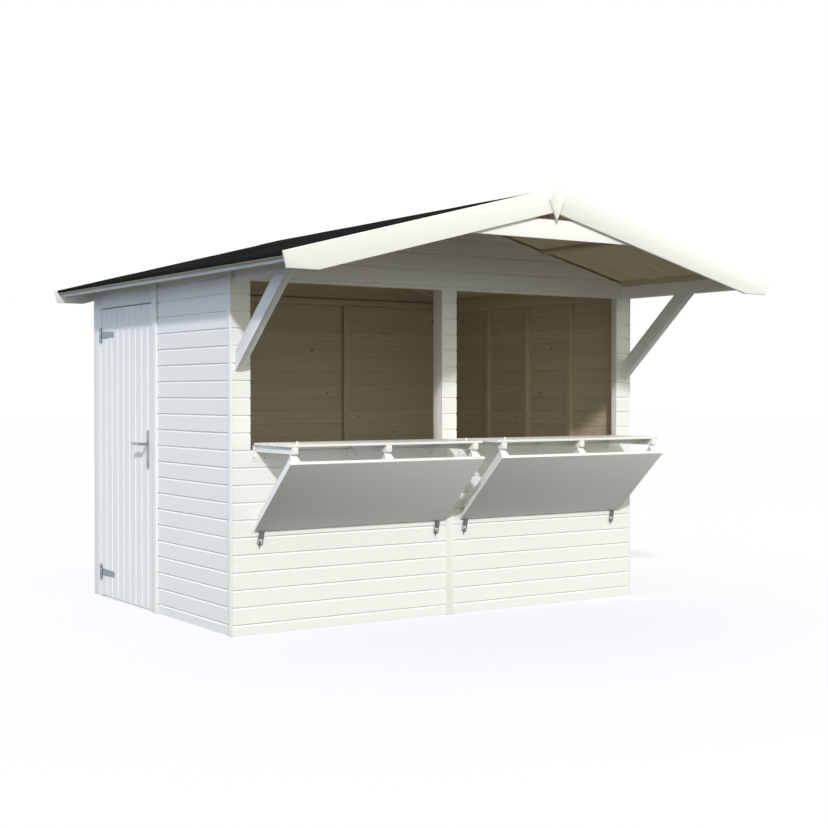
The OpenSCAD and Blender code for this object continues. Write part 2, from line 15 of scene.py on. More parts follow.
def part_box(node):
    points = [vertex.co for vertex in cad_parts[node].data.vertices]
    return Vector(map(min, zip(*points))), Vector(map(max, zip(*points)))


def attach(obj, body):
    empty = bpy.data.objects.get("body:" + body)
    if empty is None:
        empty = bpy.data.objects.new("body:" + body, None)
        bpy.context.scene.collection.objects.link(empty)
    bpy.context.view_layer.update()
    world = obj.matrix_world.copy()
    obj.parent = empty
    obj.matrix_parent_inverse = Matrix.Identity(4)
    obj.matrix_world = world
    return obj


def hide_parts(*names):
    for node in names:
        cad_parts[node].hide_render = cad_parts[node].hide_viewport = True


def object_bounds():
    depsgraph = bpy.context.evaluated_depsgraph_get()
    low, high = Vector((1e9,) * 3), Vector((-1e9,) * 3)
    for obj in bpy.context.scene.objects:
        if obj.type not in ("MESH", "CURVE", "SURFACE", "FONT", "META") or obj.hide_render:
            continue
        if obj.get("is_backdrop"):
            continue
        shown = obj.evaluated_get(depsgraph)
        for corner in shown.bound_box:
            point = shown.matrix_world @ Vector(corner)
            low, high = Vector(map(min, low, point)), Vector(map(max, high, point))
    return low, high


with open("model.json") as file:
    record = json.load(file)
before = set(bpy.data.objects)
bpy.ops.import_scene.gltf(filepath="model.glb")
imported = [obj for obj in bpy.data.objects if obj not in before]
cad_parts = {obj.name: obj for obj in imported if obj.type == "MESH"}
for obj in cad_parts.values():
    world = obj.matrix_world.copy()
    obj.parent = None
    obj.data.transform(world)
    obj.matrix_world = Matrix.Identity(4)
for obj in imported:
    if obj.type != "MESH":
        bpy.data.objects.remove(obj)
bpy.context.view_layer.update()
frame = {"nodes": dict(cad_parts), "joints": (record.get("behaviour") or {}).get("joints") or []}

# %% [markdown]
# The hut is photographed from its front left corner, standing, with a long lens. The camera's
# place, turn and lens were worked out from the corners of the walls and the two window rows.

# %% Camera
EYE = Vector((-5.0431, -7.7023, 1.3605))
TURN = math.radians(33.904)
TILT = math.radians(-0.835)
LENS = 61.539
SENSOR = 36

camera = bpy.data.objects.new("photo_view", bpy.data.cameras.new("photo_view"))
camera.data.lens = LENS
camera.data.sensor_width = SENSOR
camera.location = EYE
camera.rotation_euler = (math.pi / 2 + TILT, 0, -TURN)
bpy.context.scene.collection.objects.link(camera)
bpy.context.scene.camera = camera
print("camera", [round(v, 2) for v in EYE], "lens", LENS)

# %% [markdown]
# Light comes from one lamp at the front left, about a third of the way up the sky. It throws the
# canopy's shadow over the windows. The world adds an even light, a cool wide lamp fills the left
# side, and weak lamps fill the front, the right, the room and the hollows under the counters. They
# stand for what a bright yard throws back. The world looks white to the camera and in mirrored light.

# %% Light
SUN_WAY = Vector((0.6085, 1.0, -0.7507))
SUN_POWER = 2.15
SUN_ANGLE = math.radians(3.2)
SUN_COLOUR = (1.0, 0.965, 1.0)
SKY_COLOUR = (0.82, 0.86, 0.73)
COOL = (0.01, 0.28, 1.0)
WHITE = (1, 1, 1)
WINDOW_X = 0.7


def link(tree, out, into):
    tree.links.new(out, into)


def add(tree, kind, **settings):
    node = tree.nodes.new(kind)
    for key, value in settings.items():
        setattr(node, key, value)
    return node


def fed(tree, node, **feeds):
    """Links output sockets into a node's named inputs; returns the node."""
    for name, out in feeds.items():
        link(tree, out, node.inputs[name])
    return node


def math_node(tree, operation, first, second=None):
    """A Math node fed with sockets or plain numbers; returns its output socket."""
    node = add(tree, "ShaderNodeMath", operation=operation)
    for socket, value in zip(node.inputs, (first, second)):
        if isinstance(value, (int, float)):
            socket.default_value = value
        elif value is not None:
            link(tree, value, socket)
    return node.outputs[0]


def seen_directly(tree):
    """1 for rays from the camera and for mirrored ones, 0 for light that falls on the hut."""
    rays = add(tree, "ShaderNodeLightPath")
    seen = math_node(tree, "MAXIMUM", rays.outputs["Is Camera Ray"], rays.outputs["Is Glossy Ray"])
    return math_node(tree, "MAXIMUM", seen, rays.outputs["Is Transmission Ray"])


def plain_shader(tree, kind, colour, **values):
    """A shader of one colour; returns its output socket."""
    node = add(tree, kind)
    node.inputs["Color"].default_value = (*colour, 1)
    for key, value in values.items():
        node.inputs[key].default_value = value
    return node.outputs[0]


def by_ray(tree, lighting, seen):
    """Mixes two shaders: one for the light that falls on the hut, one for whoever looks."""
    mix = add(tree, "ShaderNodeMixShader")
    link(tree, seen_directly(tree), mix.inputs[0])
    link(tree, lighting, mix.inputs[1])
    link(tree, seen, mix.inputs[2])
    return mix.outputs[0]


sun = bpy.data.objects.new("sun_lamp", bpy.data.lights.new("sun_lamp", "SUN"))
sun.data.energy = SUN_POWER
sun.data.angle = SUN_ANGLE
sun.data.color = SUN_COLOUR
sun.rotation_mode = "QUATERNION"
sun.rotation_quaternion = SUN_WAY.to_track_quat("-Z", "Y")
bpy.context.scene.collection.objects.link(sun)


def soft_lamp(name, energy, place, aim, width, height, colour=WHITE):
    """A wide lamp that shines from a place towards an aim and isn't seen itself."""
    lamp = bpy.data.objects.new(name, bpy.data.lights.new(name, "AREA"))
    lamp.data.shape = "RECTANGLE"
    lamp.data.size = width
    lamp.data.size_y = height
    lamp.data.energy = energy
    lamp.data.color = colour
    lamp.location = place
    lamp.rotation_mode = "QUATERNION"
    lamp.rotation_quaternion = (Vector(aim) - Vector(place)).to_track_quat("-Z", "Y")
    lamp.visible_camera = False
    bpy.context.scene.collection.objects.link(lamp)


soft_lamp("side_fill", energy=122, place=(-9, 1.5, 3.5), aim=(0, 0.6, 1), width=6, height=6, colour=COOL)
soft_lamp("front_fill", energy=30, place=(-1, -10, 3.9), aim=(0, 0, 1.2), width=9, height=2.2)
soft_lamp("right_fill", energy=82, place=(8, -7, 3.4), aim=(0, 0, 1.2), width=4, height=2.5)
soft_lamp("room_fill", energy=2.9, place=(0, -0.35, 1.3), aim=(0.3, 1.5, 1.0), width=1.6, height=0.4)
for x in (-WINDOW_X, WINDOW_X):
    soft_lamp("counter_fill", energy=0.17, place=(x, -0.86, 0.93), aim=(x, -0.59, 0.98),
              width=1.1, height=0.04)

world = bpy.data.worlds.new("studio")
bpy.context.scene.world = world
world.use_nodes = True
sky = world.node_tree
sky.nodes.clear()
shade = plain_shader(sky, "ShaderNodeBackground", SKY_COLOUR)
white = plain_shader(sky, "ShaderNodeBackground", WHITE)
link(sky, by_ray(sky, shade, white), add(sky, "ShaderNodeOutputWorld").inputs[0])
bpy.context.scene.view_settings.view_transform = "Standard"
print("light from", [round(v, 2) for v in SUN_WAY.normalized()])

# %% [markdown]
# The floor is a plain pale sheet. When seen it glows a little, so that it runs into the white
# behind, and the hut's shadow still shows on it. For bounced light it is dark, like the yard that
# such a hut stands in, so the undersides stay in shade.

# %% Floor
FLOOR_HALF = 60
FLOOR_DROP = 0.001
YARD_GREY = (0.07, 0.07, 0.07)
SHEET_GREY = (0.4, 0.4, 0.4)
GLOW_COLOUR = (0.93, 0.885, 1.0)
GLOW_STRENGTH = 0.57

mesh = bpy.data.meshes.new("floor")
ways = ((-1, -1), (1, -1), (1, 1), (-1, 1))
mesh.from_pydata([(x * FLOOR_HALF, y * FLOOR_HALF, -FLOOR_DROP) for x, y in ways], [], [(0, 1, 2, 3)])
floor = bpy.data.objects.new("floor", mesh)
bpy.context.scene.collection.objects.link(floor)
floor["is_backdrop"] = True

pale = bpy.data.materials.new("pale_floor")
pale.use_nodes = True
tree = pale.node_tree
tree.nodes.clear()
yard = plain_shader(tree, "ShaderNodeBsdfDiffuse", YARD_GREY)
sheet = plain_shader(tree, "ShaderNodeBsdfDiffuse", SHEET_GREY)
glow = plain_shader(tree, "ShaderNodeEmission", GLOW_COLOUR, Strength=GLOW_STRENGTH)
both = add(tree, "ShaderNodeAddShader")
link(tree, sheet, both.inputs[0])
link(tree, glow, both.inputs[1])
link(tree, by_ray(tree, yard, both.outputs[0]), add(tree, "ShaderNodeOutputMaterial").inputs[0])
floor.data.materials.append(pale)
print("floor", 2 * FLOOR_HALF, "m wide")

# %% [markdown]
# Every timber shares one effect: rings and fibres that run along the board, a few oval knots, and a
# tone of its own for each board. It could be painted on, but a node group keeps one recipe for all.
# Its vector runs along the grain in X, into the board in Y and across it in Z.

# %% Timber effect
BOARD_SHIFT = (9, 9, 9)
KNOT_CELLS = (6.0, 1.5, 9.0)
KNOT_SHARE = 0.3
KNOT_EDGE = (0.045, 0.085)
KNOT_REACH = 0.35
KNOT_BEND = 9
RINGS = 210
RING_WAVES = (0.9, 5, 7)
RING_BEND = 34
RING_PART = 0.55
FIBRES = (5, 240, 240)

timber = bpy.data.node_groups.new("timber", "ShaderNodeTree")
timber.interface.new_socket("Vector", in_out="INPUT", socket_type="NodeSocketVector")
timber.interface.new_socket("Board", in_out="INPUT", socket_type="NodeSocketFloat")
for name in ("Tone", "Grain", "Knot", "Height"):
    timber.interface.new_socket(name, in_out="OUTPUT", socket_type="NodeSocketFloat")


def scaled(tree, vector, factors):
    node = add(tree, "ShaderNodeVectorMath", operation="MULTIPLY")
    link(tree, vector, node.inputs[0])
    node.inputs[1].default_value = factors
    return node.outputs[0]


def noise(tree, vector, detail, roughness=0.5):
    node = fed(tree, add(tree, "ShaderNodeTexNoise"), Vector=vector)
    node.inputs["Scale"].default_value = 1
    node.inputs["Detail"].default_value = detail
    node.inputs["Roughness"].default_value = roughness
    return node.outputs["Fac"]


def remap(tree, value, low, high, to_low, to_high):
    node = fed(tree, add(tree, "ShaderNodeMapRange"), Value=value)
    for key, number in (("From Min", low), ("From Max", high), ("To Min", to_low), ("To Max", to_high)):
        node.inputs[key].default_value = number
    return node.outputs["Result"]


def weighted(tree, *parts):
    """The sum of values, each times its weight."""
    total = None
    for value, weight in parts:
        share = math_node(tree, "MULTIPLY", value, weight)
        total = share if total is None else math_node(tree, "ADD", total, share)
    return total


def fill_timber(tree):
    given = add(tree, "NodeGroupInput").outputs
    chance = fed(tree, add(tree, "ShaderNodeTexWhiteNoise", noise_dimensions="1D"), W=given["Board"])
    moved = add(tree, "ShaderNodeVectorMath", operation="ADD")
    link(tree, given["Vector"], moved.inputs[0])
    link(tree, scaled(tree, chance.outputs["Color"], BOARD_SHIFT), moved.inputs[1])
    place = moved.outputs[0]
    cells = fed(tree, add(tree, "ShaderNodeTexVoronoi"), Vector=scaled(tree, place, KNOT_CELLS))
    cells.inputs["Scale"].default_value = 1
    pick = fed(tree, add(tree, "ShaderNodeSeparateColor"), Color=cells.outputs["Color"])
    kept = math_node(tree, "GREATER_THAN", pick.outputs[0], 1 - KNOT_SHARE)
    away = cells.outputs["Distance"]
    knot = math_node(tree, "MULTIPLY", remap(tree, away, *KNOT_EDGE, 1, 0), kept)
    around = math_node(tree, "MULTIPLY", remap(tree, away, 0, KNOT_REACH, 1, 0), kept)
    split = fed(tree, add(tree, "ShaderNodeSeparateXYZ"), Vector=place)
    bend = noise(tree, scaled(tree, place, RING_WAVES), 2)
    phase = weighted(tree, (split.outputs[2], RINGS), (bend, RING_BEND), (around, KNOT_BEND))
    rings = math_node(tree, "ADD", math_node(tree, "MULTIPLY", math_node(tree, "SINE", phase), 0.5), 0.5)
    fibre = noise(tree, scaled(tree, place, FIBRES), 3, 0.6)
    grain = weighted(tree, (rings, RING_PART), (fibre, 1 - RING_PART))
    fed(tree, add(tree, "NodeGroupOutput"), Tone=chance.outputs["Value"], Grain=grain, Knot=knot,
        Height=math_node(tree, "SUBTRACT", grain, knot))


fill_timber(timber)
print("timber effect", len(timber.nodes), "nodes")

# %% [markdown]
# White paint and bare wood both sit on that effect. Under the paint the grain only shows as a faint
# relief and a slight change of tone from board to board. Bare wood shows its rings and knots. The
# order of the axes tells which way the grain runs, and the cover gives the boards their numbers.

# %% Paint and bare wood
COVER = 0.098
LOWEST_JOINT = 0.056
DOOR_JOINT = 0.581
JOINT_Z = LOWEST_JOINT - COVER
JOINT_Y = DOOR_JOINT - COVER
BUMP_STRENGTH = 0.6


def timber_in(tree, order, number_axis, first):
    """The timber effect on Object coordinates, with the axes in this order, along the grain first."""
    where = add(tree, "ShaderNodeTexCoord").outputs["Object"]
    split = fed(tree, add(tree, "ShaderNodeSeparateXYZ"), Vector=where)
    turned = add(tree, "ShaderNodeCombineXYZ")
    for socket, axis in zip(turned.inputs, order):
        link(tree, split.outputs["XYZ".index(axis)], socket)
    group = fed(tree, add(tree, "ShaderNodeGroup", node_tree=timber), Vector=turned.outputs[0])
    if number_axis:
        from_first = math_node(tree, "SUBTRACT", split.outputs["XYZ".index(number_axis)], first)
        number = math_node(tree, "FLOOR", math_node(tree, "DIVIDE", from_first, COVER))
        link(tree, number, group.inputs["Board"])
    return group


def bumped(tree, shader, height, distance):
    bump = fed(tree, add(tree, "ShaderNodeBump"), Height=height)
    bump.inputs["Strength"].default_value = BUMP_STRENGTH
    bump.inputs["Distance"].default_value = distance
    link(tree, bump.outputs["Normal"], shader.inputs["Normal"])


def blended(tree, factor, first, second):
    """A colour between two, each a socket or a plain colour."""
    node = add(tree, "ShaderNodeMix", data_type="RGBA")
    link(tree, factor, node.inputs[0])
    for socket, value in ((node.inputs[6], first), (node.inputs[7], second)):
        if isinstance(value, tuple):
            socket.default_value = (*value, 1)
        else:
            link(tree, value, socket)
    return node.outputs[2]


def blank_material(name):
    material = bpy.data.materials.new(name)
    material.use_nodes = True
    return material, material.node_tree, material.node_tree.nodes["Principled BSDF"]


PAINT = (0.92, 0.915, 0.893)
PAINT_SHADE = (0.79, 0.78, 0.73)
PINE = (0.60, 0.53, 0.385)
PINE_RING = (0.47, 0.385, 0.25)
PINE_KNOT = (0.12, 0.075, 0.045)
FRESH_PINE = (0.74, 0.66, 0.46)
FRESH_RING = (0.60, 0.50, 0.32)
PAINT_SHOWS = {"Grain": 0.08, "Tone": 0.07, "Knot": 0.12}
RING_SPAN = (0.25, 0.85)
RING_SHOWS = 0.4
TONE_SHOWS = 0.35
PAINT_ROUGH = (0.42, 0.56)
PAINT_GLOSS = 0.15
WOOD_ROUGH = (0.55, 0.72)
WOOD_GLOSS = 0.1
FIBRE_RELIEF = 0.0003


def surfaced(tree, shader, wood, colour, rough, gloss):
    """Gives a timber its colour, its dullness along the grain and the relief of its fibres."""
    link(tree, colour, shader.inputs["Base Color"])
    link(tree, remap(tree, wood.outputs["Grain"], 0, 1, *rough), shader.inputs["Roughness"])
    shader.inputs["Specular IOR Level"].default_value = gloss
    bumped(tree, shader, wood.outputs["Height"], FIBRE_RELIEF)


def white_paint(name, order, number_axis="", first=0.0):
    material, tree, shader = blank_material(name)
    wood = timber_in(tree, order, number_axis, first)
    faint = weighted(tree, *((wood.outputs[key], share) for key, share in PAINT_SHOWS.items()))
    surfaced(tree, shader, wood, blended(tree, faint, PAINT, PAINT_SHADE), PAINT_ROUGH, PAINT_GLOSS)
    return material


def bare_wood(name, order, number_axis="", first=0.0, pine=PINE, ring=PINE_RING):
    material, tree, shader = blank_material(name)
    wood = timber_in(tree, order, number_axis, first)
    ringed = blended(tree, remap(tree, wood.outputs["Grain"], *RING_SPAN, 0, RING_SHOWS), pine, ring)
    toned = blended(tree, math_node(tree, "MULTIPLY", wood.outputs["Tone"], TONE_SHOWS), ringed, ring)
    knotted = blended(tree, wood.outputs["Knot"], toned, PINE_KNOT)
    surfaced(tree, shader, wood, knotted, WOOD_ROUGH, WOOD_GLOSS)
    return material


paint_across = white_paint("paint_boards_across", "XYZ", "Z", JOINT_Z)
paint_deep = white_paint("paint_boards_deep", "YXZ", "Z", JOINT_Z)
paint_door = white_paint("paint_door_boards", "ZXY", "Y", JOINT_Y)
paint_level = white_paint("paint_level_timber", "XYZ")
paint_long = white_paint("paint_long_timber", "YXZ")
paint_upright = white_paint("paint_upright_timber", "ZXY")
bare_across = bare_wood("bare_boards_across", "XYZ", "Z", JOINT_Z)
bare_deep = bare_wood("bare_boards_deep", "YXZ", "Z", JOINT_Z)
bare_door = bare_wood("bare_door_boards", "ZXY", "Y", JOINT_Y)
bare_roof = bare_wood("bare_roof_boards", "XZY", "Y", 0.0, FRESH_PINE, FRESH_RING)
bare_level = bare_wood("bare_level_timber", "XYZ")
bare_long = bare_wood("bare_long_timber", "YXZ")
bare_upright = bare_wood("bare_upright_timber", "ZXY")
print("timber finishes", len([m for m in bpy.data.materials if "bare" in m.name or "paint" in m.name]))

# %% [markdown]
# The ironwork is zinc plated sheet, a little dull and cloudy. The clasps are darker, and the door
# handle is brushed to a satin. One cloud pattern serves all three, with its own colours each time.

# %% Metals
CLOUD = (0.3, 0.7)
CLOUD_RELIEF = 0.00015
ROUGH_SPREAD = (-0.08, 0.1)
SHEEN = 0.85


def metal(name, bright, dull, roughness, stretch):
    material, tree, shader = blank_material(name)
    where = add(tree, "ShaderNodeTexCoord").outputs["Object"]
    cloud = noise(tree, scaled(tree, where, stretch), 4, 0.65)
    link(tree, blended(tree, remap(tree, cloud, *CLOUD, 0, 1), bright, dull), shader.inputs["Base Color"])
    rough = remap(tree, cloud, *CLOUD, *(roughness + change for change in ROUGH_SPREAD))
    link(tree, rough, shader.inputs["Roughness"])
    shader.inputs["Metallic"].default_value = SHEEN
    bumped(tree, shader, cloud, CLOUD_RELIEF)
    return material


zinc = metal("zinc_plate", (0.34, 0.37, 0.40), (0.25, 0.28, 0.30), 0.45, (160, 160, 160))
clasp_steel = metal("dark_clasp_steel", (0.20, 0.21, 0.20), (0.11, 0.115, 0.11), 0.4, (140, 140, 140))
satin = metal("brushed_steel", (0.43, 0.45, 0.46), (0.33, 0.35, 0.36), 0.32, (60, 60, 500))
print("metals", zinc.name, clasp_steel.name, satin.name)

# %% [markdown]
# The roof is covered with black felt strewn with mineral grains. Fine bright specks and a slow change
# of tone keep it from looking like plastic, and a bump lets the low light catch the grains. Each strip
# of felt on a slope has a tone of its own, counted from the ridge.

# %% Felt finish
STRIPS = 3
FELT_DARK = (0.011, 0.0117, 0.0123)
FELT_WORN = (0.026, 0.0267, 0.0273)
FELT_GRIT = (0.07, 0.072, 0.075)
FELT_CLOUDS = (2.2, 1.4, 2.2)
GRIT_GRAINS = (420, 420, 420)
GRIT_RELIEF = 0.0012
GRIT_SPAN = (0.6, 0.78)
GRIT_SHOWS = 0.8
CLOUD_SHARE = 0.55
FELT_ROUGH = 0.92
felt_low, felt_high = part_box("roof_felt")
eave = felt_high.x

felt_finish, tree, shader = blank_material("mineral_felt")
where = add(tree, "ShaderNodeTexCoord").outputs["Object"]
slow = noise(tree, scaled(tree, where, FELT_CLOUDS), 3)
specks = noise(tree, scaled(tree, where, GRIT_GRAINS), 2, 0.7)
split = fed(tree, add(tree, "ShaderNodeSeparateXYZ"), Vector=where)
strip = math_node(tree, "FLOOR", math_node(tree, "MULTIPLY", split.outputs[0], STRIPS / eave))
chance = fed(tree, add(tree, "ShaderNodeTexWhiteNoise", noise_dimensions="1D"), W=strip)
cloudy = remap(tree, slow, *CLOUD, 0, 1)
worn = weighted(tree, (cloudy, CLOUD_SHARE), (chance.outputs["Value"], 1 - CLOUD_SHARE))
tone = blended(tree, worn, FELT_DARK, FELT_WORN)
gritty = blended(tree, remap(tree, specks, *GRIT_SPAN, 0, GRIT_SHOWS), tone, FELT_GRIT)
link(tree, gritty, shader.inputs["Base Color"])
shader.inputs["Roughness"].default_value = FELT_ROUGH
shader.inputs["Specular IOR Level"].default_value = 0.0
bumped(tree, shader, specks, GRIT_RELIEF)
print("felt finish", len(tree.nodes), "nodes")

# %% [markdown]
# Planed timber never has knife edges. Many pieces of the frame already have the right shape, so each
# is copied, its loose triangles are merged back into flat faces, and a small bevel rounds its edges.
# The copy then stands for the plain piece and moves with the same body. The eave beams were painted
# where they show outside, and stay bare where they look into the room.

# %% Rounded timber
FLAT = math.radians(1)
SHARP = math.radians(35)
MERGE = 1e-5
OUTWARD = 0.1


def dressed(piece, body, slot, nodes, *materials):
    """Gives a piece its finishes, hangs it on its body's empty and hides the nodes it stands for; slot is not
    used.
    """
    for material in materials:
        piece.data.materials.append(material)
    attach(piece, body)
    if nodes:
        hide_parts(*nodes)
    return piece


def new_piece(name, mesh):
    piece = bpy.data.objects.new(name, mesh)
    bpy.context.scene.collection.objects.link(piece)
    return piece


def settled(piece):
    """The piece with its modifiers made plain mesh."""
    bpy.context.view_layer.update()
    shown = piece.evaluated_get(bpy.context.evaluated_depsgraph_get())
    mesh = bpy.data.meshes.new_from_object(shown)
    piece.modifiers.clear()
    piece.data = mesh
    return piece


def joined_copy(node):
    """The node's triangles merged into flat faces, as a bmesh."""
    bm = bmesh.new()
    bm.from_mesh(frame["nodes"][node].data)
    bmesh.ops.remove_doubles(bm, verts=bm.verts, dist=MERGE)
    bmesh.ops.dissolve_limit(bm, angle_limit=FLAT, verts=bm.verts, edges=bm.edges)
    for face in bm.faces:
        face.material_index = 0
    return bm


def finished(bm, name):
    """The bmesh as a named mesh."""
    mesh = bpy.data.meshes.new(name)
    bm.to_mesh(mesh)
    bm.free()
    return mesh


def skinned(bm, rows):
    """Joins each closed row of points to the next one with four-sided faces."""
    for one, two in zip(rows, rows[1:]):
        for i in range(len(one)):
            j = (i + 1) % len(one)
            bm.faces.new((one[i], one[j], two[j], two[i]))


def rounded(node, name, edge, segments=2, cut_at=()):
    """A node with rounded edges; its flat faces are parted at the given places along Y."""
    bm = joined_copy(node)
    for y in cut_at:
        everything = bm.verts[:] + bm.edges[:] + bm.faces[:]
        bmesh.ops.bisect_plane(bm, geom=everything, plane_co=(0, y, 0), plane_no=(0, 1, 0))
    piece = new_piece(name, finished(bm, name))
    piece.data.shade_smooth()
    bevel = piece.modifiers.new("planed edge", "BEVEL")
    bevel.width = edge
    bevel.segments = segments
    bevel.limit_method = "ANGLE"
    bevel.angle_limit = SHARP
    bevel.harden_normals = True
    return settled(piece)


timbers = {
    "door_header": ("door_head_board", paint_long, 0.002),
    "door_stile": ("hinge_side_board", paint_upright, 0.002),
    "corner_trims": ("corner_strips", paint_upright, 0.0025),
    "cover_battens": ("cover_strips", paint_upright, 0.0025),
    "eave_fascias": ("eave_boards", paint_long, 0.002),
    "barge_front_left": ("front_barge_left", paint_level, 0.003),
    "barge_front_right": ("front_barge_right", paint_level, 0.003),
    "barge_back_left": ("back_barge_left", paint_level, 0.003),
    "barge_back_right": ("back_barge_right", paint_level, 0.003),
    "gable_board": ("gable_infill", paint_level, 0.002),
    "finial": ("ridge_point", paint_upright, 0.0025),
    "canopy_braces": ("slanting_braces", paint_long, 0.003),
    "counter_left": ("left_counter_top", paint_level, 0.0025),
    "counter_right": ("right_counter_top", paint_level, 0.0025),
    "counter_bearers": ("counter_blocks", paint_long, 0.002),
    "counter_pegs": ("counter_pins", paint_upright, 0.0015),
    "shutter_left": ("left_shutter", paint_level, 0.002),
    "shutter_right": ("right_shutter", paint_level, 0.002),
    "shutter_battens": ("shutter_ledges", paint_long, 0.002),
    "shutter_hinges": ("shutter_flaps", paint_level, 0.0008),
    "front_studs": ("window_posts", paint_upright, 0.002),
}
for node, (name, material, edge) in timbers.items():
    dressed(rounded(node, name, edge), "hut", "white_paint", [node], material)
bare_timbers = {
    "front_rails": ("front_wall_rails", bare_level, 0.002),
    "side_studs": ("side_wall_studs", bare_upright, 0.002),
    "side_rails": ("side_wall_rails", bare_long, 0.002),
    "back_studs": ("back_wall_studs", bare_upright, 0.002),
    "back_rails": ("back_wall_rails", bare_level, 0.002),
    "ridge_beam": ("ridge_timber", bare_long, 0.003),
    "purlins": ("roof_purlins", bare_long, 0.003),
    "eave_fillets": ("eave_fillet_strips", bare_long, 0.0015),
}
for node, (name, material, edge) in bare_timbers.items():
    dressed(rounded(node, name, edge), "hut", "bare_wood", [node], material)
dressed(rounded("door_ledges", "door_cross_boards", 0.002), "door", "bare_wood", ["door_ledges"], bare_long)
room = (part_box("front_wall_lower")[1].y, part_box("back_wall")[0].y)
beams = rounded("eave_beams", "eave_timbers", 0.003, cut_at=room)
dressed(beams, "hut", "white_paint", ["eave_beams"], paint_long, bare_long)
for face in beams.data.polygons:
    looks_out = face.normal.x * face.center.x > OUTWARD
    face.material_index = int(not looks_out and room[0] < face.center.y < room[1])
print("rounded timbers", len(timbers) + len(bare_timbers) + 2)

# %% [markdown]
# The walls are planed boards, 98 mm from joint to joint, with a tongue that fits the next board's
# groove and a bevel on each outer edge. Two bevels make the V that draws the lines on the walls.
# One board is drawn as an outline, and a Geometry Nodes tree lays as many of it as a wall needs.

# %% One board
JOINT_GAP = 0.0018
TONGUE = 0.007
TONGUE_SLACK = 0.0009
TONGUE_FRONT = 0.47
TONGUE_BACK = 0.75
INNER_FACES = range(5, 14)
WALL_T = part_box("front_wall_lower")[1].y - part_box("front_wall_lower")[0].y
ROOF_T = 0.018


def board(name, thickness, outer_bevel, inner_bevel):
    """A board one metre long in X, its outer face on Y = 0, with its tongue above Z = COVER."""
    front, back = thickness * TONGUE_FRONT, thickness * TONGUE_BACK
    groove = TONGUE + TONGUE_SLACK
    outline = [
        (outer_bevel, JOINT_GAP), (0, JOINT_GAP + outer_bevel),
        (0, COVER - outer_bevel), (outer_bevel, COVER),
        (front, COVER), (front, COVER + TONGUE), (back, COVER + TONGUE), (back, COVER),
        (thickness - inner_bevel, COVER), (thickness, COVER - inner_bevel),
        (thickness, inner_bevel + JOINT_GAP), (thickness - inner_bevel, JOINT_GAP),
        (back + TONGUE_SLACK, JOINT_GAP), (back + TONGUE_SLACK, groove),
        (front - TONGUE_SLACK, groove), (front - TONGUE_SLACK, JOINT_GAP),
    ]
    bm = bmesh.new()
    ends = [[bm.verts.new((x, y, z)) for y, z in outline] for x in (0, 1)]
    skinned(bm, ends)
    bm.faces.new(list(reversed(ends[0])))
    bm.faces.new(ends[1])
    bmesh.ops.recalc_face_normals(bm, faces=bm.faces)
    mesh = finished(bm, name)
    inside = mesh.attributes.new("inside", "BOOLEAN", "FACE")
    inside.data.foreach_set("value", [i in INNER_FACES for i in range(len(mesh.polygons))])
    return bpy.data.objects.new(name, mesh)


wall_board = board("wall_board", WALL_T, outer_bevel=0.0062, inner_bevel=0.0016)
roof_board = board("roof_board", ROOF_T, outer_bevel=0.003, inner_bevel=0.001)
print("board", round(WALL_T * 1000), "mm thick, cover", COVER * 1000, "mm")

# %% [markdown]
# The tree sets a line of points, one for each board, stretches a board onto each and pushes it in by
# a hair, as hand-nailed boards never lie quite even. The outer faces get one finish and the inner
# faces another, by the mark that the board carries.

# %% Boarding tree
boarding = bpy.data.node_groups.new("boarding", "GeometryNodeTree")
board_inputs = {
    "Board": "NodeSocketObject", "Count": "NodeSocketInt", "Cover": "NodeSocketFloat",
    "Length": "NodeSocketFloat", "Unevenness": "NodeSocketFloat", "Seed": "NodeSocketInt",
    "Outer finish": "NodeSocketMaterial", "Inner finish": "NodeSocketMaterial",
}
sockets = {}
for name, kind in board_inputs.items():
    sockets[name] = boarding.interface.new_socket(name, in_out="INPUT", socket_type=kind).identifier
boarding.interface.new_socket("Geometry", in_out="OUTPUT", socket_type="NodeSocketGeometry")


def fill_boarding(tree):
    given = add(tree, "NodeGroupInput").outputs
    step = fed(tree, add(tree, "ShaderNodeCombineXYZ"), Z=given["Cover"])
    line = fed(tree, add(tree, "GeometryNodeMeshLine", mode="OFFSET"),
               Count=given["Count"], Offset=step.outputs[0])
    push = fed(tree, add(tree, "FunctionNodeRandomValue", data_type="FLOAT"), Seed=given["Seed"])
    link(tree, given["Unevenness"], push.inputs[3])
    inward = fed(tree, add(tree, "ShaderNodeCombineXYZ"), Y=push.outputs[1])
    moved = fed(tree, add(tree, "GeometryNodeSetPosition"),
                Geometry=line.outputs["Mesh"], Offset=inward.outputs[0])
    source = fed(tree, add(tree, "GeometryNodeObjectInfo"), Object=given["Board"])
    stretch = fed(tree, add(tree, "ShaderNodeCombineXYZ"), X=given["Length"])
    stretch.inputs["Y"].default_value = 1
    stretch.inputs["Z"].default_value = 1
    laid = fed(tree, add(tree, "GeometryNodeInstanceOnPoints"), Points=moved.outputs["Geometry"],
               Instance=source.outputs["Geometry"], Scale=stretch.outputs[0])
    real = fed(tree, add(tree, "GeometryNodeRealizeInstances"), Geometry=laid.outputs["Instances"])
    outer = fed(tree, add(tree, "GeometryNodeSetMaterial"),
                Geometry=real.outputs["Geometry"], Material=given["Outer finish"])
    mark = add(tree, "GeometryNodeInputNamedAttribute", data_type="BOOLEAN")
    mark.inputs["Name"].default_value = "inside"
    inner = fed(tree, add(tree, "GeometryNodeSetMaterial"), Geometry=outer.outputs["Geometry"],
                Selection=mark.outputs["Attribute"], Material=given["Inner finish"])
    link(tree, inner.outputs["Geometry"], add(tree, "NodeGroupOutput").inputs[0])


fill_boarding(boarding)
print("boarding tree", len(boarding.nodes), "nodes")

